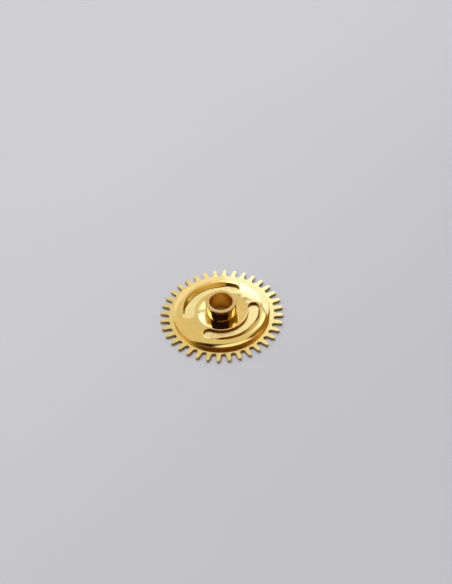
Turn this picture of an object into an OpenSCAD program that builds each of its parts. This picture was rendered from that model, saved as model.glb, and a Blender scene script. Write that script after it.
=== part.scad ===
// Hour wheel of a watch whose hour hand can be set by itself.
// A toothed wheel carries a domed cover with two curved windows. Under the cover a
// twelve-point star on the hour pipe is held by two curved spring jumpers, so the pipe
// can be turned in steps of one hour while the toothed wheel stands still.
// Origin: on the axis, at the underside of the toothed wheel. +Z: up the hour pipe.

/* [Toothed wheel] */
// Number of teeth
teeth = 36; // [30:1:40]
// Diameter over the tooth tips
tip_d = 6.0; // [5.8:0.05:6.6]
// Depth of a tooth, from tip to root
tooth_h = 0.45; // [0.35:0.01:0.5]
// Width of a tooth where it leaves its root fillets
tooth_root_w = 0.22; // [0.18:0.01:0.26]
// Width of a tooth where its rounded tip begins
tooth_tip_w = 0.18; // [0.12:0.01:0.2]
// Length of the rounded tip
tooth_tip_l = 0.15; // [0.08:0.01:0.2]
// Height of the round bottom of a tooth gap
gap_round_h = 0.10; // [0.05:0.01:0.13]
// Angle of the first tooth from +X
tooth_phase = 4.7; // [0:0.1:9.9]
// Thickness of the toothed rim
wheel_t = 0.15; // [0.12:0.01:0.25]
// Height of the raised seat that the cover is pressed over
seat_h = 0.02; // [0.01:0.005:0.03]

/* [Cover] */
// Outer diameter of the cover
cover_d = 4.68; // [4.6:0.02:4.9]
// Height of the cover above the toothed rim
cover_h = 0.25; // [0.245:0.005:0.4]
// Thickness of the cover's sheet
cover_t = 0.09; // [0.06:0.01:0.09]
// Width of the domed rim, measured along a radius
rim_w = 0.36; // [0.2:0.01:0.4]
// Drop of the domed rim from the flat top to the wall
rim_drop = 0.20; // [0.15:0.01:0.24]

/* [Windows] */
// Inner radius of a window
window_in_r = 1.30; // [1.26:0.01:1.35]
// Outer radius of a window
window_out_r = 1.84; // [1.8:0.01:1.88]
// Diameter of a window's round head
window_head_d = 0.56; // [0.5:0.01:0.6]
// Angle of the first window's head from +X
head_angle = 185; // [150:1:210]
// Angle from the middle of a window's head to the middle of its round tail
window_sweep = 120; // [90:1:122]

/* [Hour pipe] */
// Diameter of the seat for the hour hand
hand_seat_d = 1.50; // [1.4:0.01:1.51]
// Length of the seat for the hour hand, chamfer included
hand_seat_l = 0.60; // [0.4:0.01:0.9]
// Diameter at the wide end of the tapered root, where the star is pressed on
pipe_root_d = 1.52; // [1.52:0.01:1.54]
// Height above the cover where the taper ends and the hour hand's seat begins
pipe_root_h = 0.02; // [0.01:0.005:0.05]
// Diameter of the bore that runs on the cannon pinion
bore_d = 1.12; // [0.9:0.01:1.2]
// Diameter of the journal that turns in the toothed wheel
journal_d = 1.84; // [1.82:0.01:1.88]
// Chamfer at the top of the pipe
pipe_chamfer = 0.03; // [0.01:0.005:0.05]

/* [Star wheel] */
// Number of points, one for each hour
star_points = 12; // [12:2:12]
// Diameter over the points
star_tip_d = 2.36; // [2.32:0.01:2.38]
// Depth of the notches between the points
star_depth = 0.12; // [0.08:0.01:0.14]
// Thickness of the star, and of the jumpers beside it
star_t = 0.09; // [0.07:0.01:0.09]
// Diameter of the star's hub
hub_d = 1.90; // [1.8:0.01:2.0]

/* [Jumpers] */
// Distance of a jumper's stud from the axis
stud_r = 1.57; // [1.55:0.005:1.59]
// Diameter of a jumper's round head
head_d = 0.58; // [0.5:0.01:0.6]
// Inner radius of a jumper's arm
arm_in_r = 1.30; // [1.28:0.01:1.34]
// Width of the arm where it leaves the head
arm_root_w = 0.50; // [0.4:0.01:0.54]
// Width of the arm at its free end
arm_end_w = 0.54; // [0.42:0.01:0.56]
// Angle from the head to the nose that drops into the star
nose_sweep = 127; // [120:1:130]
// Angle that the arm runs on past its nose
arm_tail = 5; // [4:1:7]
// Width of the nose
nose_w = 0.28; // [0.22:0.01:0.3]
// Diameter of a stud
stud_d = 0.20; // [0.16:0.01:0.24]
// Depth of the blind hole for the stud in a jumper's head
stud_grip = 0.05; // [0.04:0.005:0.06]

/* [Clearances] */
// Radial clearance of the pipe in the toothed wheel and of a jumper on its stud
running_gap = 0.015; // [0.012:0.001:0.03]
// Radial clearance between the pipe's root and the cover's hole
cover_gap = 0.02; // [0.015:0.001:0.04]
// Gap above and below what moves inside the wheel
end_gap = 0.01; // [0.01:0.001:0.015]
// Gap between a seated nose and the notch of the star
notch_gap = 0.015; // [0.01:0.001:0.02]

/* [Hidden] */
round_fn = 96;
stud_fn = 48;
// A cut starts and ends this far outside what it cuts
cut = 0.05;

tip_r = tip_d / 2;
root_r = tip_r - tooth_h;
tooth_pitch = 360 / teeth;
tip_steps = 4;
gap_steps = 3;

cover_r = cover_d / 2;
cover_top = wheel_t + cover_h;
cover_under = cover_top - cover_t;
seat_r = cover_r - cover_t;
seat_top = wheel_t + seat_h;
rim_steps = 12;

pipe_root_top = cover_top + pipe_root_h;
pipe_top = pipe_root_top + hand_seat_l;
star_bottom = seat_top + end_gap;
star_top = star_bottom + star_t;
hub_top = cover_under - end_gap;
cover_hole_r = pipe_root_d / 2 + cover_gap;

star_tip_r = star_tip_d / 2;
star_root_r = star_tip_r - star_depth;
star_pitch = 360 / star_points;
// A nose drops straight into a notch
star_notch_angle = head_angle - nose_sweep;
// Slope of a notch's side, taken along a tangent
notch_slope = star_depth / (star_tip_r * sin(star_pitch / 2));

arm_sweep = nose_sweep + arm_tail;
arm_step = 4;
arm_blend = 20;
window_mid_r = (window_in_r + window_out_r) / 2;
window_w = window_out_r - window_in_r;
window_head_r = window_out_r - window_head_d / 2;

// Radius of the tapered root at height z
function taper_r(z) = pipe_root_d / 2
    + (hand_seat_d - pipe_root_d) / 2 * (z - star_bottom) / (pipe_root_top - star_bottom);

function polar(r, a) = [r * cos(a), r * sin(a)];

// Angle that a short length spans at a radius
function span(length, r) = length / r * 180 / PI;

// Outline of one rounded tip, at angle a
function tip_outline(a) = [
    for (q = [-90 : 90 / tip_steps : 90])
        let (r = tip_r - tooth_tip_l * (1 - cos(q)))
        polar(r, a + span(tooth_tip_w / 2 * sin(q), r))
];

// Outline of one round gap bottom, at angle a
function gap_outline(a) = [
    for (q = [-90 : 90 / gap_steps : 90])
        let (r = root_r + gap_round_h * (1 - cos(q)),
             half_gap = tooth_pitch / 2 - span(tooth_root_w / 2, root_r + gap_round_h))
        polar(r, a + half_gap * sin(q))
];

function teeth_outline() = [
    for (i = [0 : teeth - 1])
        let (a = tooth_phase + i * tooth_pitch)
        for (p = concat(tip_outline(a), gap_outline(a + tooth_pitch / 2))) p
];

// A quarter of an ellipse, from its side to its top or back again
function quarter(center, half_w, half_h, from, to) = [
    for (i = [0 : rim_steps])
        let (q = from + (to - from) * i / rim_steps)
        center + [half_w * cos(q), half_h * sin(q)]
];

function cover_profile() = concat(
    [[seat_r, wheel_t], [cover_r, wheel_t]],
    quarter([cover_r - rim_w, cover_top - rim_drop], rim_w, rim_drop, 0, 90),
    [[cover_hole_r, cover_top], [cover_hole_r, cover_under]],
    quarter([cover_r - rim_w, cover_top - rim_drop], rim_w - cover_t, rim_drop - cover_t, 90, 0)
);

function star_outline() = [
    for (i = [0 : 2 * star_points - 1])
        polar(i % 2 == 0 ? star_root_r : star_tip_r, star_notch_angle + i * star_pitch / 2)
];

// Width of a jumper's arm, a given angle after its head
function arm_w(sweep) = arm_root_w + (arm_end_w - arm_root_w) * max(0, sweep - arm_blend)
                        / (arm_sweep - arm_blend);

function arm_outline(a) = concat(
    [for (s = [0 : arm_step : arm_sweep]) polar(arm_in_r + arm_w(s), a - s)],
    [for (s = [0 : arm_step : arm_sweep]) polar(arm_in_r, a - arm_sweep + s)]
);

// The nose, in a frame whose X axis runs out along the notch
function nose_outline() =
    let (tip = star_root_r + notch_gap,
         shoulder = tip + nose_w / 2 * notch_slope,
         end = arm_in_r + arm_root_w / 2)
    [[tip, 0], [shoulder, nose_w / 2], [end, nose_w / 2], [end, -nose_w / 2], [shoulder, -nose_w / 2]];

module toothed_wheel() {
    color("#e3c27a")
    difference() {
        union() {
            linear_extrude(height = wheel_t) polygon(teeth_outline());
            cylinder(r = seat_r, h = seat_top, $fn = round_fn);
        }
        translate([0, 0, -cut])
            cylinder(r = journal_d / 2 + running_gap, h = seat_top + 2 * cut, $fn = round_fn);
        for (a = [head_angle, head_angle + 180])
            rotate([0, 0, a]) translate([stud_r, 0, -cut])
                cylinder(d = stud_d, h = seat_top + 2 * cut, $fn = stud_fn);
    }
}

// One window as a solid to cut with, its head at angle a and its tail clockwise from it
module window_cutter(a) {
    rotate([0, 0, a]) translate([0, 0, cover_under - cut]) {
        translate([window_head_r, 0, 0])
            cylinder(d = window_head_d, h = cover_t + 2 * cut, $fn = round_fn);
        rotate([0, 0, -window_sweep]) translate([window_mid_r, 0, 0])
            cylinder(d = window_w, h = cover_t + 2 * cut, $fn = round_fn);
        rotate([0, 0, -window_sweep]) rotate_extrude(angle = window_sweep, $fn = round_fn)
            translate([window_in_r, 0]) square([window_w, cover_t + 2 * cut]);
    }
}

module cover_disc() {
    color("#d9b75c")
    difference() {
        rotate_extrude($fn = round_fn) polygon(cover_profile());
        window_cutter(head_angle);
        window_cutter(head_angle + 180);
    }
}

module hour_pipe() {
    color("#d8ab4e")
    rotate_extrude($fn = round_fn) polygon([
        [bore_d / 2, 0],
        [journal_d / 2, 0],
        [journal_d / 2, star_bottom],
        [pipe_root_d / 2, star_bottom],
        [hand_seat_d / 2, pipe_root_top],
        [hand_seat_d / 2, pipe_top - pipe_chamfer],
        [hand_seat_d / 2 - pipe_chamfer, pipe_top],
        [bore_d / 2, pipe_top]
    ]);
}

module star_wheel() {
    color("#caa657")
    difference() {
        union() {
            translate([0, 0, star_bottom]) linear_extrude(height = star_t) polygon(star_outline());
            translate([0, 0, star_bottom])
                cylinder(d = hub_d, h = hub_top - star_bottom, $fn = round_fn);
        }
        translate([0, 0, star_bottom - cut])
            cylinder(r1 = taper_r(star_bottom - cut), r2 = taper_r(hub_top + cut),
                     h = hub_top - star_bottom + 2 * cut, $fn = round_fn);
    }
}

// A jumper: its head turns on a stud, its arm curves clockwise round the star
module jumper(a) {
    arm_end_r = arm_in_r + arm_end_w / 2;
    difference() {
        translate([0, 0, star_bottom]) union() {
            rotate([0, 0, a]) translate([stud_r, 0, 0])
                cylinder(d = head_d, h = star_t, $fn = stud_fn);
            linear_extrude(height = star_t) polygon(arm_outline(a));
            rotate([0, 0, a - arm_sweep]) translate([arm_end_r, 0, 0])
                cylinder(d = arm_end_w, h = star_t, $fn = stud_fn);
            rotate([0, 0, a - nose_sweep])
                linear_extrude(height = star_t) polygon(nose_outline());
        }
        rotate([0, 0, a]) translate([stud_r, 0, star_bottom - cut])
            cylinder(r = stud_d / 2 + running_gap, h = stud_grip + cut, $fn = stud_fn);
    }
}

module left_jumper() {
    color("#f2dfa2") jumper(head_angle);
}

module right_jumper() {
    color("#f2dfa2") jumper(head_angle + 180);
}

module stud(a) {
    rotate([0, 0, a]) translate([stud_r, 0, 0])
        cylinder(d = stud_d, h = star_bottom + stud_grip - end_gap, $fn = stud_fn);
}

module left_stud() {
    color("#b9bcc0") stud(head_angle);
}

module right_stud() {
    color("#b9bcc0") stud(head_angle + 180);
}

toothed_wheel();
cover_disc();
hour_pipe();
star_wheel();
left_jumper();
right_jumper();
left_stud();
right_stud();
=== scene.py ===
"""Looks of a gilded hour wheel: smooth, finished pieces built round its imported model."""

import math

import bmesh
import bpy
from mathutils import Matrix, Vector


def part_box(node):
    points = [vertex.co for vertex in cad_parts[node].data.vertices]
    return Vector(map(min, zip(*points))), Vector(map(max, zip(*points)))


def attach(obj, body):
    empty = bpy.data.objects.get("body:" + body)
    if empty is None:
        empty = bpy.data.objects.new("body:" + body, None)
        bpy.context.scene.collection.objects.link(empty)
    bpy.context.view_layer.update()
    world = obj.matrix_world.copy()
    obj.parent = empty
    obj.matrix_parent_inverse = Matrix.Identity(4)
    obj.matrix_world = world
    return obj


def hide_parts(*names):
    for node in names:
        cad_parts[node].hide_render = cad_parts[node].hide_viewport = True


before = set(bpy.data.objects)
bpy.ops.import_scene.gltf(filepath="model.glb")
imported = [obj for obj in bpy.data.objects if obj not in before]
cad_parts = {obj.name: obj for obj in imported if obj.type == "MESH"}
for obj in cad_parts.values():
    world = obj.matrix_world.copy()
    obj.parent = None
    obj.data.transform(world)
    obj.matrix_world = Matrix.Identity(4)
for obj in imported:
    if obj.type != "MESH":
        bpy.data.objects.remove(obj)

bl_info = {
    "name": "Hour Wheel",
    "version": (1, 0, 0),
    "blender": (4, 5, 0),
    "location": "View3D > Sidebar > Hour Wheel",
    "description": "Builds a gilded hour wheel of a watch, with its cover, pipe, star and jumpers",
    "category": "Add Mesh",
}

MM = 0.001
WHEEL_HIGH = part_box("toothed_wheel")[1]
COVER_LOW, COVER_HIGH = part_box("cover_disc")
PIPE_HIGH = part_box("hour_pipe")[1]
JUMPER_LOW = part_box("left_jumper")[0]
RIM_TOP = COVER_LOW.z
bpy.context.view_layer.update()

# Points closer than these are made one, and so are faces that turn less than this.
JOIN = 1e-8
NEAR = 10 * JOIN
FLAT = math.radians(1)
# Edges that turn by more degrees than these are sharp, the second on the cover.
SHARP, SHARP_COVER = 35.0, 28.0

# Steps in the curves: circles, the pipe, a tooth, a window, and the cover's profile.
CIRCLE_STEPS = 180
LATHE_STEPS = 160
TIP_STEPS, GAP_STEPS = 14, 10
CAP_STEPS, SIDE_STEPS, BRIDGE_STEPS = 12, 84, 28
DOME_STEPS, SHOULDER_STEPS, INSIDE_STEPS = 14, 10, 10
HOLE_STEPS, TOP_STEPS, FLAT_STEPS = 3, 14, 4
LIP_STEPS, RAMP_STEPS, DROP_STEPS = 3, 3, 2

# The cover's top is highest here, and its dish round the pipe deepens with this power.
RIDGE_R = 1.25 * MM
DISH_POWER = 1.5
# Shares of a window's length over which its ramp widens and narrows, and how much its start comes in.
RAMP_RISE, RAMP_FALL, RAMP_TAPER = 0.38, 0.24, 0.6
# A ramp wider than the first of these turns the lip, and one wider than the second takes up the drop.
RAMP_TURNS, RAMP_SLOPES = 0.04 * MM, 0.10 * MM
# The cover's broken edges, and the height of the curve inside its wall below its top.
COVER_EDGE, COVER_INSIDE = 0.01 * MM, 0.20 * MM
# The pipe's chamfers at the foot of its bore and of its journal.
PIPE_FOOT, PIPE_EDGE = 0.02 * MM, 0.01 * MM
# The rounding at the top of its bore, as a share of the one outside.
BORE_ROUNDING = 0.7

# A face whose normal rises by less than these is a tooth's flank, the cover's wall or a window's edge.
FLANK_RISE, WALL_RISE, EDGE_RISE = 0.2, 0.5, 0.4
# Between these it is a ramp, and above the last it is the pipe's end.
RAMP_LEAST, RAMP_MOST, END_RISE = 0.4, 0.97, 0.95

# The pieces' materials in the order of their slots.
SATIN, FLANK_SHADE = range(2)
TOP, RAMP, WALL, WINDOW_EDGE = range(4)
OUTSIDE, END_FACE, BORE = range(3)


def length(name, description, default):
    """A length in metres, given in millimetres."""
    return bpy.props.FloatProperty(
        name=name, description=description, default=default * MM,
        unit="LENGTH", subtype="DISTANCE", precision=6,
    )


def angle(name, description, default):
    """An angle, given in degrees."""
    return bpy.props.FloatProperty(
        name=name, description=description, default=math.radians(default),
        unit="ROTATION", subtype="ANGLE",
    )


def colour(name, description, default):
    """A linear colour."""
    return bpy.props.FloatVectorProperty(
        name=name, description=description, default=default,
        size=3, min=0.0, max=1.0, subtype="COLOR",
    )


def share(name, description, default, top=1.0):
    """A plain number from 0 up."""
    return bpy.props.FloatProperty(
        name=name, description=description, default=default, min=0.0, max=top,
    )


class WheelSizes(bpy.types.PropertyGroup):
    """Sizes of the toothed wheel."""

    teeth: bpy.props.IntProperty(name="Teeth", description="Number of teeth", default=36, min=12)
    tip_r: length("Tip radius", "Radius over the tooth tips", 3.0)
    tooth_h: length("Tooth depth", "From tip to root", 0.45)
    tooth_root_w: length("Root width", "Width of a tooth above its root fillets", 0.22)
    tooth_tip_w: length("Tip width", "Width of a tooth where its rounded tip begins", 0.18)
    tooth_tip_l: length("Tip length", "Length of the rounded tip", 0.15)
    gap_round_h: length("Gap rounding", "Height of the round bottom of a tooth gap", 0.10)
    phase: angle("Phase", "Angle of the first tooth from +X", 4.7)
    journal_r: length("Journal hole", "Radius of the hole for the pipe's journal", 0.935)
    seat_r: length("Seat radius", "Radius of the raised seat inside the cover", 2.25)
    seat_h: length("Seat height", "Height of the raised seat inside the cover", 0.02)
    edge: length("Edge break", "Width of the broken edges", 0.010)


class CoverSizes(bpy.types.PropertyGroup):
    """Sizes of the domed cover and its two windows."""

    sheet: length("Sheet", "Thickness of the cover's sheet", 0.09)
    hole_r: length("Hole radius", "Radius of the hole round the pipe", 0.78)
    flat_r: length("Top radius", "Radius where the top ends and the dome begins", 2.03)
    start_tilt: angle("Start tilt", "Slope of the dome where it leaves the top", 4)
    shoulder_tilt: angle("Shoulder tilt", "Slope of the dome at its shoulder", 12.5)
    shoulder_w: length("Shoulder width", "From the shoulder to the wall", 0.015)
    window_r: length("Window radius", "Radius of the windows' middle line", 1.57)
    window_half: length("Window half width", "Half of a window's width", 0.270)
    head: angle("Head angle", "Angle of the first window's head from +X", 185)
    sweep: angle("Sweep", "Angle from a window's head to its tail", 120)
    lip: length("Lip", "Rounding of the windows' edges", 0.012)
    ramp: length("Ramp", "Widest slope on a window's outer side", 0.24)
    ramp_out: length("Ramp start", "How far outside the window's line the slope begins", 0.10)
    ramp_tilt: angle("Ramp tilt", "How far a window's lip turns where its ramp begins", 20.5)
    ramp_sag: length("Ramp sag", "How far the ramp's foot is pressed below the sheet", 0.02)
    crown: length("Crown", "Drop of the top from its middle to the dome", 0.006)
    dish: length("Dish", "Drop of the top round the pipe", 0.032)


class PipeSizes(bpy.types.PropertyGroup):
    """Sizes of the hour pipe."""

    seat_r: length("Seat radius", "Radius of the seat for the hour hand", 0.75)
    root_r: length("Root radius", "Radius at the wide end of the root inside the wheel", 0.76)
    journal_r: length("Journal radius", "Radius of the journal in the toothed wheel", 0.92)
    bore_r: length("Bore radius", "Radius of the bore", 0.56)
    chamfer: length("Edge rounding", "Rounding at the top of the pipe", 0.03)
    root_h: length("Root end", "Height above the cover where the tapered root ends", 0.02)


class Finishes(bpy.types.PropertyGroup):
    """Colours and gloss of the gilded pieces."""

    gold: colour("Gold", "Colour of the polished gilding", (0.93, 0.70, 0.28))
    satin: colour("Satin gold", "Colour of the toothed wheel's satin gilding", (0.98, 0.77, 0.33))
    grained: colour("Grained gold", "Colour of the jumpers' grained gilding", (1.0, 0.81, 0.37))
    recess: colour("Recess", "Colour of the windows' unpolished ramps", (0.72, 0.47, 0.11))
    wall: colour("Wall", "Colour of the cover's turned wall", (0.95, 0.53, 0.12))
    # The flanks' colour is painted shade, much darker than the satin gold of the same gilding.
    flank: colour("Flanks", "Colour of the cut flanks of the teeth", (0.46, 0.34, 0.10))
    end_face: colour("End face", "Colour of the pipe's turned end", (0.70, 0.49, 0.19))
    bore: colour("Bore", "Colour inside the pipe", (0.95, 0.49, 0.045))
    steel: colour("Steel", "Colour of the studs", (0.55, 0.56, 0.58))
    polish: share("Polish", "Roughness of the polished gilding", 0.035)
    satin_rough: share("Satin roughness", "Roughness of the satin gilding", 0.13)
    grain_rough: share("Grain roughness", "Roughness of the grained gilding", 0.27)


class StageLook(bpy.types.PropertyGroup):
    """Floor, light and camera."""

    floor: colour("Floor", "Colour of the floor", (0.65, 0.665, 0.75))
    distance: length("Distance", "From the camera to the wheel's axis", 47.6)
    elevation: angle("Elevation", "Height of the camera above the floor", 47.52)
    roll: angle("Roll", "Turn of the camera about its view", 3.23)
    lens: bpy.props.FloatProperty(name="Lens", description="Focal length", default=60.3, unit="CAMERA")
    shift_x: share("Shift X", "Sideways shift of the frame", 0.0076)
    shift_y: share("Shift Y", "Upward shift of the frame", 0.0369)
    overhead: share("Overhead", "Brightness of the lamp overhead", 3.25, top=20.0)


def polar(radius, turn):
    """Point in the XY plane at a radius and an angle."""
    return Vector((radius * math.cos(turn), radius * math.sin(turn), 0.0))


def finish_mesh(bm, name, materials, bevel=0.0, sharp=SHARP):
    """Makes an object of a bmesh: smooth faces, sharp or bevelled edges and flat faces kept flat."""
    bmesh.ops.remove_doubles(bm, verts=bm.verts[:], dist=JOIN)
    bmesh.ops.dissolve_degenerate(bm, edges=bm.edges[:], dist=JOIN)
    bmesh.ops.recalc_face_normals(bm, faces=bm.faces[:])
    turn = math.radians(sharp)
    if bevel:
        corners = [e for e in bm.edges if e.is_convex and e.calc_face_angle(0.0) > turn]
        bmesh.ops.bevel(
            bm, geom=corners, offset=bevel, offset_type="OFFSET", segments=2, profile=0.5,
            affect="EDGES", clamp_overlap=True, material=-1,
        )
    for face in bm.faces:
        face.smooth = True
    for edge in bm.edges:
        edge.smooth = not (edge.is_manifold and edge.calc_face_angle(0.0) > turn)
    mesh = bpy.data.meshes.new(name)
    bm.to_mesh(mesh)
    bm.free()
    piece = bpy.data.objects.new(name, mesh)
    bpy.context.scene.collection.objects.link(piece)
    for material in materials:
        mesh.materials.append(material)
    normals = piece.modifiers.new("flat faces", "WEIGHTED_NORMAL")
    normals.keep_sharp = True
    return piece


def place(piece, body, node, slot):
    """Lets a piece stand for a CAD node, on its body."""
    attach(piece, body)
    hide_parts(node)


def edges_at(verts):
    """The edges that meet some vertices, each one once and in a fixed order."""
    return list(dict.fromkeys(e for v in verts for e in v.link_edges))


def column_layer(bm):
    """The layer that holds each vertex's column number."""
    return bm.verts.layers.int.get("column") or bm.verts.layers.int.new("column")


def join_flat_faces(bm):
    """Makes one face of the faces that lie flat beside each other."""
    bmesh.ops.dissolve_limit(
        bm, angle_limit=FLAT, verts=bm.verts[:], edges=bm.edges[:], delimit=set(),
    )


def ring_of(bm, points):
    """A closed ring of vertices, each of which keeps its column's number."""
    column_layer(bm)
    verts = bmesh.ops.create_circle(bm, segments=len(points), radius=1.0)["verts"]
    column = column_layer(bm)
    for i, (vert, point) in enumerate(zip(verts, points)):
        vert[column] = i
        vert.co = point
    return edges_at(verts)


def pull(bm, edges, place_vert):
    """Extrudes edges once and puts each new vertex where place_vert(its column's number) says."""
    made = bmesh.ops.extrude_edge_only(bm, edges=edges)["geom"]
    column = column_layer(bm)
    verts = [g for g in made if isinstance(g, bmesh.types.BMVert)]
    for vert in verts:
        vert.co = place_vert(vert[column])
    new, old = set(verts), set(edges)
    return [
        g for g in made
        if isinstance(g, bmesh.types.BMEdge) and g not in old and new.issuperset(g.verts)
    ]


def lathe(bm, profile, steps):
    """Turns a closed profile of (radius, height) points about the axis."""
    verts = [bm.verts.new((r, 0.0, z)) for r, z in profile]
    edges = [bm.edges.new((a, b)) for a, b in zip(verts, verts[1:] + verts[:1])]
    bmesh.ops.spin(
        bm, geom=verts + edges, cent=(0, 0, 0), axis=(0, 0, 1), dvec=(0, 0, 0),
        angle=2 * math.pi, steps=steps,
        use_merge=True, use_normal_flip=False, use_duplicate=False,
    )


def rounding(centre, radius, start, end, steps):
    """Points of an arc in a lathe's profile, from one angle to another in degrees."""
    turns = [math.radians(start + (end - start) * i / steps) for i in range(steps + 1)]
    return [(centre[0] + radius * math.cos(q), centre[1] + radius * math.sin(q)) for q in turns]


class Nodes:
    """A short hand for building a material's or a world's node tree."""

    def __init__(self, owner):
        owner.use_nodes = True
        self.tree = owner.node_tree
        self.tree.nodes.clear()

    def add(self, kind, inputs=None, **settings):
        """A new node, its inputs linked to other nodes' outputs or set to values."""
        node = self.tree.nodes.new(kind)
        for name, value in settings.items():
            setattr(node, name, value)
        for key, value in (inputs or {}).items():
            if isinstance(value, bpy.types.NodeSocket):
                self.tree.links.new(value, node.inputs[key])
            else:
                node.inputs[key].default_value = value
        return node

    def math(self, operation, a, b=0.0):
        return self.add("ShaderNodeMath", {0: a, 1: b}, operation=operation).outputs[0]

    def vector(self, operation, a, b):
        return self.add("ShaderNodeVectorMath", {0: a, 1: b}, operation=operation)

    def noise(self, place, scale, detail=2.0, roughness=0.5):
        inputs = {"Vector": place, "Scale": scale, "Detail": detail, "Roughness": roughness}
        return self.add("ShaderNodeTexNoise", inputs).outputs["Fac"]

    def span(self, value, low, high, to_low=0.0, to_high=1.0, kind="SMOOTHSTEP"):
        """Takes the range from low to high to another one, and what lies beyond to its ends."""
        inputs = {
            "Value": value, "From Min": low, "From Max": high, "To Min": to_low, "To Max": to_high,
        }
        return self.add("ShaderNodeMapRange", inputs, interpolation_type=kind).outputs["Result"]

    def mix(self, factor, a, b):
        # A mix node's sockets share their names, so its colours go by their numbers.
        return self.add("ShaderNodeMix", {0: factor, 6: a, 7: b}, data_type="RGBA").outputs[2]

    def bump(self, height, distance, normal=None):
        inputs = {"Height": height, "Distance": distance, "Strength": 1.0}
        if normal is not None:
            inputs["Normal"] = normal
        return self.add("ShaderNodeBump", inputs).outputs["Normal"]

    def metal(self, base, roughness, normal):
        """Ends a material's tree with a metal surface."""
        inputs = {"Base Color": base, "Metallic": 1.0, "Roughness": roughness, "Normal": normal}
        shader = self.add("ShaderNodeBsdfPrincipled", inputs)
        self.add("ShaderNodeOutputMaterial", {"Surface": shader.outputs[0]})


def shade(rgb, factor):
    """A colour made darker or lighter, with full opacity."""
    return (*[min(1.0, c * factor) for c in rgb], 1.0)


def in_millimetres(n):
    """The piece's own coordinates in millimetres."""
    place = n.add("ShaderNodeTexCoord").outputs["Object"]
    return n.vector("MULTIPLY", place, (1 / MM,) * 3).outputs[0]


def polished_gold(name, look):
    """Mirror-polished gilding: a faint orange peel and slight changes of colour and gloss."""
    material = bpy.data.materials.new(name)
    n = Nodes(material)
    place = in_millimetres(n)
    peel = n.noise(place, scale=1.6, detail=1.0)
    fine = n.noise(place, scale=60.0)
    tint = n.span(n.noise(place, scale=2.2, detail=3.0), low=0.3, high=0.7)
    base = n.mix(tint, shade(look.gold, 0.96), shade(look.gold, 1.03))
    worn = n.noise(place, scale=9.0, detail=3.0)
    rough = n.span(worn, 0.3, 0.75, to_low=look.polish * 0.8, to_high=look.polish * 1.35)
    normal = n.bump(peel, distance=0.0030 * MM)
    normal = n.bump(fine, distance=0.0003 * MM, normal=normal)
    n.metal(base, rough, normal)
    return material


def grained_gold(name, rgb, roughness, grain):
    """Gilding over a fine grained ground: speckles in height, gloss and colour."""
    material = bpy.data.materials.new(name)
    n = Nodes(material)
    place = in_millimetres(n)
    speckle = n.noise(place, scale=38.0, detail=4.0, roughness=0.6)
    patch = n.noise(place, scale=3.0, detail=3.0)
    base = n.mix(n.span(patch, low=0.3, high=0.7), shade(rgb, 0.94), shade(rgb, 1.04))
    base = n.mix(n.span(speckle, 0.55, 0.8, to_high=0.35), base, shade(rgb, 0.72))
    rough = n.span(speckle, 0.3, 0.7, to_low=roughness * 0.85, to_high=roughness * 1.2)
    n.metal(base, rough, n.bump(speckle, distance=grain))
    return material


def turned_steel(name, rgb):
    """Steel with fine turning lines."""
    material = bpy.data.materials.new(name)
    n = Nodes(material)
    place = in_millimetres(n)
    lines = n.noise(n.vector("MULTIPLY", place, (12, 12, 160)).outputs[0], scale=1.0)
    base = n.mix(n.span(lines, low=0.3, high=0.7), shade(rgb, 0.9), shade(rgb, 1.08))
    n.metal(base, roughness=0.25, normal=n.bump(lines, distance=0.0005 * MM))
    return material


def material_named(name, make, **settings):
    """The material of that name, made once."""
    return bpy.data.materials.get(name) or make(name, **settings)


def tooth_pitch_points(s):
    """Outline of one tooth and the gap after it, from the tip's right side to the gap's far side."""
    root_r = s.tip_r - s.tooth_h
    fillet_r = root_r + s.gap_round_h
    half_gap = math.pi / s.teeth - s.tooth_root_w / 2 / fillet_r
    points = []
    for i in range(TIP_STEPS + 1):
        q = math.radians(-90 + 180 * i / TIP_STEPS)
        r = s.tip_r - s.tooth_tip_l * (1 - math.cos(q))
        points.append(polar(r, s.phase + s.tooth_tip_w / 2 * math.sin(q) / r))
    for i in range(GAP_STEPS + 1):
        q = math.radians(-90 + 180 * i / GAP_STEPS)
        r = root_r + s.gap_round_h * (1 - math.cos(q))
        points.append(polar(r, s.phase + math.pi / s.teeth + half_gap * math.sin(q)))
    return points


def circle_edges(bm, radius):
    """Edges of a new circle about the axis."""
    return edges_at(bmesh.ops.create_circle(bm, segments=CIRCLE_STEPS, radius=radius)["verts"])


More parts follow.
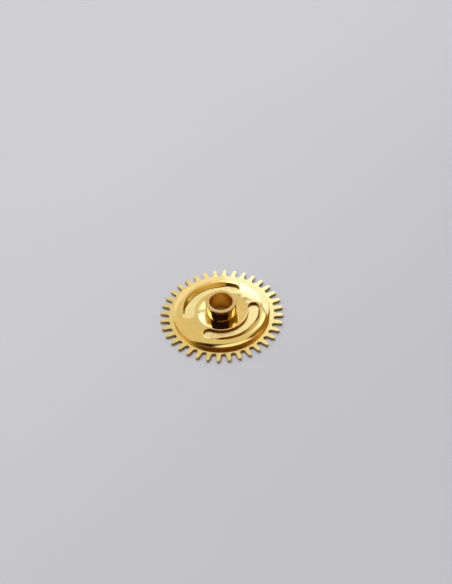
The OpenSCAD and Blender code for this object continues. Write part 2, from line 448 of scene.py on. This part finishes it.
class HOURWHEEL_OT_wheel(bpy.types.Operator):
    """Build the toothed wheel: a thin grained ring with slender round-tipped teeth"""

    bl_idname = "hour_wheel.wheel"
    bl_label = "Toothed Wheel"

    def execute(self, context):
        s = context.scene.hour_wheel_wheel
        look = context.scene.hour_wheel_finishes
        bm = bmesh.new()
        points = tooth_pitch_points(s)
        verts = [bm.verts.new(p) for p in points]
        first_of_next = bm.verts.new(Matrix.Rotation(2 * math.pi / s.teeth, 3, "Z") @ points[0])
        verts.append(first_of_next)
        edges = [bm.edges.new(pair) for pair in zip(verts, verts[1:])]
        bmesh.ops.spin(
            bm, geom=verts + edges, cent=(0, 0, 0), axis=(0, 0, 1), dvec=(0, 0, 0),
            angle=2 * math.pi * (s.teeth - 1) / s.teeth, steps=s.teeth - 1,
            use_merge=False, use_normal_flip=False, use_duplicate=True,
        )
        bmesh.ops.remove_doubles(bm, verts=bm.verts[:], dist=NEAR)
        outline = bm.edges[:]
        seat = circle_edges(bm, s.seat_r)
        hole = circle_edges(bm, s.journal_r)
        bmesh.ops.triangle_fill(bm, edges=outline + seat, use_beauty=True, use_dissolve=False)
        bmesh.ops.triangle_fill(bm, edges=seat + hole, use_beauty=True, use_dissolve=False)
        self.lift(bm, bm.faces[:], RIM_TOP)
        inside = [f for f in bm.faces if self.on_seat(f, s.seat_r)]
        self.lift(bm, inside, s.seat_h)
        bmesh.ops.delete(bm, geom=inside, context="FACES")
        join_flat_faces(bm)
        satin = material_named(
            "satin gold", grained_gold, rgb=look.satin, roughness=look.satin_rough, grain=0.0009 * MM,
        )
        # Painted shade: the teeth's upright sides get a dark colour so that they read as shaded.
        cut = material_named("cut flanks", grained_gold, rgb=look.flank, roughness=0.34, grain=0.0012 * MM)
        wheel = finish_mesh(bm, "gilded_wheel", [satin, cut], bevel=s.edge)
        for face in wheel.data.polygons:
            # Faces that stand upright take the flanks' painted shade, the rest the satin gold.
            face.material_index = FLANK_SHADE if abs(face.normal.z) < FLANK_RISE else SATIN
        place(wheel, "wheel", "toothed_wheel", "satin_gold")
        return {"FINISHED"}

    def lift(self, bm, faces, height):
        """Extrudes flat faces upwards."""
        lifted = bmesh.ops.extrude_face_region(bm, geom=faces)["geom"]
        verts = [g for g in lifted if isinstance(g, bmesh.types.BMVert)]
        bmesh.ops.translate(bm, verts=verts, vec=(0, 0, height))

    def on_seat(self, face, radius):
        """Whether a face lies flat on top of the wheel, with all its corners inside a radius."""
        on_top = abs(face.normal.z) > 0.5 and face.calc_center_median().z > WHEEL_HIGH.z / 2
        return on_top and all(v.co.xy.length < radius + JOIN for v in face.verts)


def window_sides(s):
    """The cover's columns, clockwise: each one's points on the windows' inner and outer sides.

    Between the windows both points are the same one on the windows' middle line.
    """
    half = s.window_half + s.lip
    cap_span = 2 * math.asin(half / 2 / s.window_r)
    columns = []

    def cap(turn, way):
        """Columns of a window's round end, from its tip to its sides."""
        along = Vector((-math.sin(turn), math.cos(turn))) * way
        out = Vector((math.cos(turn), math.sin(turn)))
        points = []
        for i in range(CAP_STEPS + 1):
            q = math.pi / 2 * i / CAP_STEPS
            ahead = out * s.window_r + along * math.cos(q) * half
            side = out * math.sin(q) * half
            points.append((ahead - side, ahead + side))
        return points

    for head in (s.head, s.head + math.pi):
        tail = head - s.sweep
        columns += cap(head, 1)
        for i in range(1, SIDE_STEPS):
            turn = head - s.sweep * i / SIDE_STEPS
            line = Vector((math.cos(turn), math.sin(turn)))
            along = i / SIDE_STEPS
            start = s.ramp_out * (1 - RAMP_TAPER * along) * ramp_share(along)
            columns.append((line * (s.window_r - half), line * (s.window_r + half + start)))
        columns += cap(tail, -1)[::-1]
        gap = math.pi - s.sweep - 2 * cap_span
        for i in range(1, BRIDGE_STEPS):
            turn = tail - cap_span - gap * i / BRIDGE_STEPS
            point = Vector((math.cos(turn), math.sin(turn))) * s.window_r
            columns.append((point, point))
    return columns


def within_one(value):
    """The value, kept between 0 and 1."""
    return min(1.0, max(0.0, value))


def eased(value):
    """A smooth step from 0 to 1."""
    return value * value * (3 - 2 * value)


def ramp_share(along):
    """How wide the ramp is at a share of the way from the window's head to its tail."""
    return eased(within_one(along / RAMP_RISE)) * eased(within_one((1.0 - along) / RAMP_FALL))


def top_height(s, radius):
    """Height of the cover's top at a radius: a slight crown, dished round the pipe."""
    out = max(0.0, radius - RIDGE_R) / (s.flat_r - RIDGE_R)
    inward = max(0.0, RIDGE_R - radius) / (RIDGE_R - s.hole_r)
    return COVER_HIGH.z - s.crown * out * out - s.dish * inward**DISH_POWER


def dome_points(s):
    """Profile of the dome from the top down to the wall: (radius, height)."""
    a, b = s.start_tilt, s.shoulder_tilt
    wide = (COVER_HIGH.x - s.shoulder_w - s.flat_r) / (math.sin(b) - math.sin(a))
    tight = s.shoulder_w / (1 - math.sin(b))
    top = top_height(s, s.flat_r)
    shoulder_z = top - wide * (math.cos(a) - math.cos(b))
    points = []
    for k in range(1, DOME_STEPS + 1):
        q = a + (b - a) * k / DOME_STEPS
        radius = s.flat_r + wide * (math.sin(q) - math.sin(a))
        points.append((radius, top - wide * (math.cos(a) - math.cos(q))))
    for k in range(1, SHOULDER_STEPS + 1):
        q = b + (math.pi / 2 - b) * k / SHOULDER_STEPS
        radius = COVER_HIGH.x - tight * (1 - math.sin(q))
        points.append((radius, shoulder_z - tight * (math.cos(b) - math.cos(q))))
    return points


def at(point, radius, z):
    """The point at a radius and a height, in the direction of a flat point."""
    flat = Vector((point[0], point[1])).normalized() * radius
    return Vector((flat.x, flat.y, z))


def nearest_middle(s, flat):
    """Nearest point of the windows' middle lines, and how wide the ramp is on that side of it."""
    turn = math.atan2(flat.y, flat.x)
    found = []
    for head in (s.head, s.head + math.pi):
        back = (head - turn) % (2 * math.pi)
        if back > math.pi + s.sweep / 2:
            back -= 2 * math.pi
        back = min(max(back, 0.0), s.sweep)
        middle = Vector((math.cos(head - back), math.sin(head - back))) * s.window_r
        ramp = s.ramp * ramp_share(back / s.sweep) if flat.length > s.window_r else 0.0
        found.append((middle, ramp))
    return min(found, key=lambda one: (one[0] - flat).length)


class HOURWHEEL_OT_cover(bpy.types.Operator):
    """Build the cover: a polished sheet with a domed rim and two curved windows with soft edges"""

    bl_idname = "hour_wheel.cover"
    bl_label = "Domed Cover"

    def execute(self, context):
        s = context.scene.hour_wheel_cover
        look = context.scene.hour_wheel_finishes
        columns = window_sides(s)
        inner = [c[0] for c in columns]
        outer = [c[1] for c in columns]
        under = COVER_HIGH.z - s.sheet
        bm = bmesh.new()
        start = ring_of(bm, [at(p, s.hole_r, under) for p in inner])
        self.inner_strip(bm, s, start, inner)
        edges = ring_of(bm, [at(p, p.length, top_height(s, p.length)) for p in outer])
        self.outer_strip(bm, s, edges, outer, under)
        pull(bm, start, lambda i: self.below(s, inner[i], under))
        bmesh.ops.remove_doubles(bm, verts=bm.verts[:], dist=JOIN)
        self.window_walls(bm, s, under)
        grain = 0.0004 * MM
        cover = finish_mesh(bm, "domed_cover", [
            material_named("polished gold", polished_gold, look=look),
            material_named("recess gold", grained_gold, rgb=look.recess, roughness=0.20, grain=grain),
            material_named("turned wall", grained_gold, rgb=look.wall, roughness=0.42, grain=grain),
            material_named("cut window edges", grained_gold, rgb=look.wall, roughness=0.52, grain=grain),
        ], sharp=SHARP_COVER)
        for face in cover.data.polygons:
            face.material_index = self.finish_of(s, face, under)
        place(cover, "wheel", "cover_disc", "polished_gold")
        return {"FINISHED"}

    def finish_of(self, s, face, under):
        """Which of the cover's materials a face has, by how it slopes and where it is."""
        radius = Vector((face.center.x, face.center.y)).length
        rise = face.normal.z
        beside_ramp = s.window_r + s.window_half - s.ramp < radius < s.flat_r
        innermost = s.window_r - s.window_half - 2 * s.lip
        if beside_ramp and RAMP_LEAST < rise < RAMP_MOST and face.center.z > under - s.ramp_sag:
            return RAMP
        if abs(rise) < WALL_RISE and radius > COVER_HIGH.x - s.shoulder_w:
            return WALL
        if abs(rise) < EDGE_RISE and innermost < radius < s.flat_r:
            return WINDOW_EDGE
        return TOP

    def below(self, s, point, under):
        """Where a column meets the foot of a window's wall, or the middle line, on the underside."""
        if abs(point.length - s.window_r) < JOIN:
            return at(point, point.length, under)
        middle, ramp = nearest_middle(s, point)
        away = point - middle
        flat = middle + away.normalized() * (away.length - s.lip - ramp)
        return Vector((flat.x, flat.y, under - self.sag(s, ramp)))

    def sag(self, s, ramp):
        """How far a ramp of that width hangs below the sheet."""
        return s.ramp_sag * ramp / s.ramp

    def inner_strip(self, bm, s, start, inner):
        """The sheet from its hole out to the windows."""
        edge = COVER_EDGE
        rim = top_height(s, s.hole_r)
        edges = pull(bm, start, lambda i: at(inner[i], s.hole_r, rim - edge))
        for k in range(1, HOLE_STEPS + 1):
            q = math.pi / 2 * k / HOLE_STEPS
            r, z = s.hole_r + edge * (1 - math.cos(q)), rim - edge * (1 - math.sin(q))
            edges = pull(bm, edges, lambda i, r=r, z=z: at(inner[i], r, z))
        for k in range(1, TOP_STEPS + 1):
            def outward(i, f=k / TOP_STEPS):
                r = s.hole_r + edge + (inner[i].length - s.hole_r - edge) * f
                return at(inner[i], r, top_height(s, r))

            edges = pull(bm, edges, outward)

    def outer_strip(self, bm, s, edges, outer, under):
        """The sheet from the windows out over the dome, down the wall and back underneath."""
        for k in range(1, FLAT_STEPS + 1):
            def outward(i, f=k / FLAT_STEPS):
                r = outer[i].length + (s.flat_r - outer[i].length) * f
                return at(outer[i], r, top_height(s, r))

            edges = pull(bm, edges, outward)
        wall = COVER_HIGH.x
        path = dome_points(s)
        path += [(wall, RIM_TOP + COVER_EDGE), (wall - COVER_EDGE, RIM_TOP), (wall - s.sheet, RIM_TOP)]
        inside_w, inside_z = wall - s.sheet - s.flat_r, COVER_HIGH.z - COVER_INSIDE
        for k in range(INSIDE_STEPS + 1):
            q = math.pi / 2 * k / INSIDE_STEPS
            path.append((s.flat_r + inside_w * math.cos(q), inside_z + (under - inside_z) * math.sin(q)))
        for r, z in path:
            edges = pull(bm, edges, lambda i, r=r, z=z: at(outer[i], r, z))
        pull(bm, edges, lambda i: self.below(s, outer[i], under))

    def window_walls(self, bm, s, under):
        """Runs each window's edge over its lip, down its ramp and on down to the foot of its wall.

        A wide ramp takes up the whole drop. Where there is none, the wall drops straight from the lip.
        """
        edges = [e for e in bm.edges if e.is_boundary and min(v.co.z for v in e.verts) > under + JOIN]
        column = column_layer(bm)
        places = []
        for vert in dict.fromkeys(v for e in edges for v in e.verts):
            vert[column] = len(places)
            places.append(vert.co.copy())
        for step in range(1, LIP_STEPS + RAMP_STEPS + DROP_STEPS + 1):
            def settle(i, step=step):
                flat = Vector((places[i].x, places[i].y))
                middle, ramp = nearest_middle(s, flat)
                away = flat - middle
                upright = math.pi / 2
                turn = upright + (s.ramp_tilt - upright) * min(1.0, ramp / RAMP_TURNS)
                q = turn * min(step, LIP_STEPS) / LIP_STEPS
                inward, down = s.lip * math.sin(q), s.lip * (1 - math.cos(q))
                slope = within_one((step - LIP_STEPS) / RAMP_STEPS)
                inward += (s.lip + ramp - inward) * slope
                drop = places[i].z - under + self.sag(s, ramp)
                down += (drop - down) * slope * min(1.0, ramp / RAMP_SLOPES)
                down += (drop - down) * max(0.0, (step - LIP_STEPS - RAMP_STEPS) / DROP_STEPS)
                new = middle + away.normalized() * (away.length - inward)
                return Vector((new.x, new.y, places[i].z - down))

            edges = pull(bm, edges, settle)
        bmesh.ops.remove_doubles(bm, verts=bm.verts[:], dist=NEAR)


class HOURWHEEL_OT_pipe(bpy.types.Operator):
    """Build the hour pipe: polished outside, with a turned end face and an open bore"""

    bl_idname = "hour_wheel.pipe"
    bl_label = "Hour Pipe"

    def execute(self, context):
        s = context.scene.hour_wheel_pipe
        look = context.scene.hour_wheel_finishes
        top = PIPE_HIGH.z
        outside, inside = s.chamfer, s.chamfer * BORE_ROUNDING
        journal_top = JUMPER_LOW.z
        profile = [(s.bore_r + PIPE_FOOT, 0.0), (s.journal_r - PIPE_EDGE, 0.0), (s.journal_r, PIPE_EDGE)]
        profile += [(s.journal_r, journal_top), (s.root_r, journal_top)]
        profile += [(s.seat_r, COVER_HIGH.z + s.root_h)]
        profile += rounding((s.seat_r - outside, top - outside), outside, 0, 90, steps=6)
        profile += rounding((s.bore_r + inside, top - inside), inside, 90, 180, steps=5)
        profile += [(s.bore_r, PIPE_FOOT)]
        bm = bmesh.new()
        lathe(bm, profile, LATHE_STEPS)
        grain = 0.0010 * MM
        pipe = finish_mesh(bm, "hand_pipe", [
            material_named("polished gold", polished_gold, look=look),
            material_named("turned end", grained_gold, rgb=look.end_face, roughness=0.30, grain=grain),
            material_named("bored gold", grained_gold, rgb=look.bore, roughness=0.28, grain=grain),
        ])
        for face in pipe.data.polygons:
            face.material_index = self.finish_of(s, face, top)
        place(pipe, "hour_pipe", "hour_pipe", "polished_gold")
        return {"FINISHED"}

    def finish_of(self, s, face, top):
        """Which of the pipe's materials a face has: its end, its bore or its outside."""
        radius = Vector((face.center.x, face.center.y)).length
        if face.normal.z > END_RISE and face.center.z > top - PIPE_EDGE:
            return END_FACE
        if radius < s.bore_r + 0.5 * s.chamfer and face.center.z < top - s.chamfer:
            return BORE
        return OUTSIDE


def dressed(name, node, body, slot, material, bevel):
    """A piece with the shape of a CAD node, its edges broken and its flat faces whole."""
    bm = bmesh.new()
    bm.from_mesh(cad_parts[node].data)
    bmesh.ops.remove_doubles(bm, verts=bm.verts[:], dist=NEAR)
    join_flat_faces(bm)
    piece = finish_mesh(bm, name, [material], bevel=bevel)
    place(piece, body, node, slot)


class HOURWHEEL_OT_works(bpy.types.Operator):
    """Build what works under the cover: the star, the two jumpers and their studs"""

    bl_idname = "hour_wheel.works"
    bl_label = "Star and Jumpers"

    def execute(self, context):
        look = context.scene.hour_wheel_finishes
        grained = material_named(
            "fine grained gold", grained_gold,
            rgb=look.grained, roughness=look.grain_rough, grain=0.0012 * MM,
        )
        steel = material_named("turned steel", turned_steel, rgb=look.steel)
        stamped, turned = 0.006 * MM, 0.005 * MM
        dressed("star", "star_wheel", "hour_pipe", "inner_brass", grained, stamped)
        for side in ("left", "right"):
            jumper = f"{side}_jumper"
            dressed(f"jumper_{side}", jumper, jumper, "grained_gold", grained, stamped)
            dressed(f"stud_{side}", f"{side}_stud", "wheel", "stud_steel", steel, turned)
        return {"FINISHED"}


def direction(azimuth, elevation):
    """Unit vector for a direction, azimuth counted from +X towards +Y, in degrees."""
    a, e = math.radians(azimuth), math.radians(elevation)
    return Vector((math.cos(a) * math.cos(e), math.sin(a) * math.cos(e), math.sin(e)))


def studio_world():
    """A room of soft lights and dark fields, which the polished metal mirrors as in the photo.

    Azimuth 90 is behind the wheel, 180 at its left and 270 at the camera. The camera itself sees a pale
    backdrop and not the room.
    """
    world = bpy.data.worlds.new("studio")
    bpy.context.scene.world = world
    n = Nodes(world)
    ray = n.add("ShaderNodeTexCoord").outputs["Generated"]
    ripple = math.radians(0.3)
    wave = n.span(n.noise(ray, scale=60.0, detail=1.0), 0.3, 0.7, -ripple, ripple, "LINEAR")

    def along(axis):
        return n.vector("DOT_PRODUCT", ray, axis).outputs["Value"]

    lift = n.math("ARCSINE", along((0, 0, 1)))
    wavy_lift = n.math("ADD", lift, wave)

    def glow(azimuth, elevation, outer, inner):
        """A round field, from nothing at its outer angle to all of it at its inner one."""
        facing = along(direction(azimuth, elevation))
        return n.span(facing, math.cos(math.radians(outer)), math.cos(math.radians(inner)))

    def step(value, place, soft):
        return n.span(value, math.radians(place - soft), math.radians(place + soft))

    def patch(azimuth, half_width, low, high, soft, height=lift):
        """A field with four sides: its middle and half width, its lowest and highest, its softness."""
        turn = n.math("ARCTAN2", along(direction(azimuth + 90, 0)), along(direction(azimuth, 0)))
        beside = step(n.math("ABSOLUTE", turn), half_width, soft)
        outside = n.math("MAXIMUM", beside, step(height, high, soft))
        inside = n.math("SUBTRACT", step(height, low, soft), outside)
        return n.math("MAXIMUM", inside, 0.0)

    sky = (0.014, 0.008, 0.006, 1.0)
    for mask, rgb in (
        # The dim front and right, which the pipe and the cover's wall mirror.
        (patch(275, 85, -90, 27, 5), (0.20, 0.08, 0.015)),
        (patch(290, 65, 62, 88, 4), (0.50, 0.28, 0.06)),
        (patch(16, 54, 8, 60, 2.5), (0.31, 0.17, 0.022)),
        (patch(-14, 24, 34, 46, 2), (0.13, 0.09, 0.03)),
        (patch(20, 40, 58, 78, 4), (0.62, 0.42, 0.12)),
        (patch(52, 9, 18, 36, 3), (0.60, 0.38, 0.08)),
        (glow(270, 84, 15, 8), (0.70, 0.46, 0.12)),
        (patch(12, 17, 46.5, 57, 1.5), (1.6, 1.8, 1.6)),
        # The left, for the dome and the slopes of the windows.
        (patch(186, 16, 8, 34, 7), (0.60, 0.36, 0.13)),
        (patch(160, 22, 12, 44, 8), (0.81, 0.58, 0.25)),
        (patch(132, 22, 22, 56, 6), (0.76, 0.66, 0.42)),
        (patch(150, 32, 64, 80, 5), (0.15, 0.075, 0.02)),
        (patch(165, 22, 46, 62, 2), (1.6, 2.0, 2.2)),
        # Behind: the field in the cover's flat top, the bright window and the soft light above it.
        (patch(106, 36, 43, 64.5, 2), (0.76, 0.70, 0.54)),
        (patch(104, 18, 11, 43, 5), (1.03, 1.0, 0.95)),
        (patch(75.5, 13, 11, 46.3, 0.4, wavy_lift), (1.15, 1.3, 1.7)),
        (glow(86, 44.5, 3.5, 1.5), (2.4, 2.6, 3.0)),
        (patch(76, 8, 47.4, 54, 1), (1.5, 1.6, 1.8)),
        (glow(60, 76, 14, 10), (1.25, 1.2, 1.0)),
        # The window's dark wavy edge.
        (patch(81, 8, 46.3, 47.1, 0.15, wavy_lift), (0.0, 0.0, 0.0)),
    ):
        sky = n.mix(mask, sky, (*rgb, 1.0))
    room = n.add("ShaderNodeBackground", {"Color": sky, "Strength": 1.0})
    backdrop = n.add("ShaderNodeBackground", {"Color": (0.80, 0.79, 0.83, 1.0), "Strength": 1.0})
    seen = n.add("ShaderNodeLightPath").outputs["Is Camera Ray"]
    both = n.add("ShaderNodeMixShader", {0: seen, 1: room.outputs[0], 2: backdrop.outputs[0]})
    n.add("ShaderNodeOutputWorld", {"Surface": both.outputs[0]})


def area_lamp(name, azimuth, elevation, distance, width, energy, rgb):
    """A soft lamp that faces the wheel from a direction and isn't mirrored in it."""
    data = bpy.data.lights.new(name, "AREA")
    data.shape = "DISK"
    data.size = width
    data.energy = energy
    data.color = rgb
    lamp = bpy.data.objects.new(name, data)
    away = direction(azimuth, elevation)
    lamp.location = away * distance
    lamp.rotation_euler = away.to_track_quat("Z", "Y").to_euler()
    lamp.visible_camera = False
    lamp.visible_glossy = False
    bpy.context.scene.collection.objects.link(lamp)


class HOURWHEEL_OT_stage(bpy.types.Operator):
    """Set the pale floor, the soft studio light and the camera"""

    bl_idname = "hour_wheel.stage"
    bl_label = "Stage"

    def execute(self, context):
        s = context.scene.hour_wheel_stage
        scene = context.scene
        scene.view_settings.view_transform = "Standard"
        bm = bmesh.new()
        bmesh.ops.create_grid(bm, x_segments=1, y_segments=1, size=1.0)
        mesh = bpy.data.meshes.new("floor")
        bm.to_mesh(mesh)
        bm.free()
        floor = bpy.data.objects.new("floor", mesh)
        scene.collection.objects.link(floor)
        paper = bpy.data.materials.new("pale paper")
        n = Nodes(paper)
        place_mm = in_millimetres(n)
        # The floor is painted lighter towards its back left and darker towards its front right, a painted
        # fall of light, with random clouds of tone over it.
        light_fall_across = n.vector("DOT_PRODUCT", place_mm, (1, -1, 0)).outputs["Value"]
        clouds = n.math("MULTIPLY", n.noise(place_mm, scale=0.08), 0.15)
        light_fall_and_clouds = n.math("ADD", n.span(light_fall_across, low=-22, high=22), clouds)
        base = n.mix(light_fall_and_clouds, shade(s.floor, 1.06), shade(s.floor, 0.92))
        inputs = {"Base Color": base, "Roughness": 0.9, "Specular IOR Level": 0.2}
        shader = n.add("ShaderNodeBsdfPrincipled", inputs)
        n.add("ShaderNodeOutputMaterial", {"Surface": shader.outputs[0]})
        mesh.materials.append(paper)
        studio_world()
        width = 0.9
        energy = s.overhead * math.pi * (math.pi * (width / 2) ** 2)
        area_lamp(
            "floor lamp", azimuth=110, elevation=65, distance=1.0, width=width, energy=energy,
            rgb=(0.86, 0.93, 1.0),
        )
        self.set_camera(scene, s)
        return {"FINISHED"}

    def set_camera(self, scene, s):
        """Puts the camera at the photograph's viewing angle."""
        data = bpy.data.cameras.new("camera")
        camera = bpy.data.objects.new("camera", data)
        scene.collection.objects.link(camera)
        up, side = math.sin(s.elevation), math.cos(s.elevation)
        back = Vector((0, -side, up))
        right, lift = Vector((1, 0, 0)), Vector((0, up, side))
        x_axis = right * math.cos(s.roll) - lift * math.sin(s.roll)
        y_axis = right * math.sin(s.roll) + lift * math.cos(s.roll)
        turn = Matrix((x_axis, y_axis, back)).transposed().to_4x4()
        target = Vector((0, 0, RIM_TOP))
        camera.matrix_world = Matrix.Translation(target + back * s.distance) @ turn
        data.sensor_width = 36.0
        data.lens = s.lens
        data.shift_x, data.shift_y = s.shift_x, s.shift_y
        data.clip_start, data.clip_end = s.distance * 0.05, s.distance * 200
        scene.camera = camera


class HOURWHEEL_PT_panel(bpy.types.Panel):
    """Sizes and finishes of the hour wheel, and the steps that build it"""

    bl_label = "Hour Wheel"
    bl_idname = "HOURWHEEL_PT_panel"
    bl_space_type = "VIEW_3D"
    bl_region_type = "UI"
    bl_category = "Hour Wheel"

    def draw(self, context):
        for group, operators in STEPS:
            box = self.layout.box()
            values = getattr(context.scene, group)
            for key in values.__annotations__:
                box.prop(values, key)
            for operator in operators:
                box.operator(operator.bl_idname)


GROUPS = {
    "hour_wheel_wheel": WheelSizes,
    "hour_wheel_cover": CoverSizes,
    "hour_wheel_pipe": PipeSizes,
    "hour_wheel_finishes": Finishes,
    "hour_wheel_stage": StageLook,
}
STEPS = (
    ("hour_wheel_wheel", (HOURWHEEL_OT_wheel,)),
    ("hour_wheel_cover", (HOURWHEEL_OT_cover,)),
    ("hour_wheel_pipe", (HOURWHEEL_OT_pipe,)),
    ("hour_wheel_finishes", (HOURWHEEL_OT_works,)),
    ("hour_wheel_stage", (HOURWHEEL_OT_stage,)),
)
CLASSES = (
    *GROUPS.values(),
    HOURWHEEL_OT_wheel,
    HOURWHEEL_OT_cover,
    HOURWHEEL_OT_pipe,
    HOURWHEEL_OT_works,
    HOURWHEEL_OT_stage,
    HOURWHEEL_PT_panel,
)


def register():
    """Registers the classes and the settings on the scene."""
    for cls in CLASSES:
        bpy.utils.register_class(cls)
    for name, cls in GROUPS.items():
        setattr(bpy.types.Scene, name, bpy.props.PointerProperty(type=cls))


def unregister():
    """Takes the settings and the classes away again."""
    for name in GROUPS:
        delattr(bpy.types.Scene, name)
    for cls in reversed(CLASSES):
        bpy.utils.unregister_class(cls)


def main():
    """Builds every piece and the stage."""
    register()
    bpy.ops.hour_wheel.wheel()
    bpy.ops.hour_wheel.cover()
    bpy.ops.hour_wheel.pipe()
    bpy.ops.hour_wheel.works()
    bpy.ops.hour_wheel.stage()


if __name__ == "__main__":
    main()
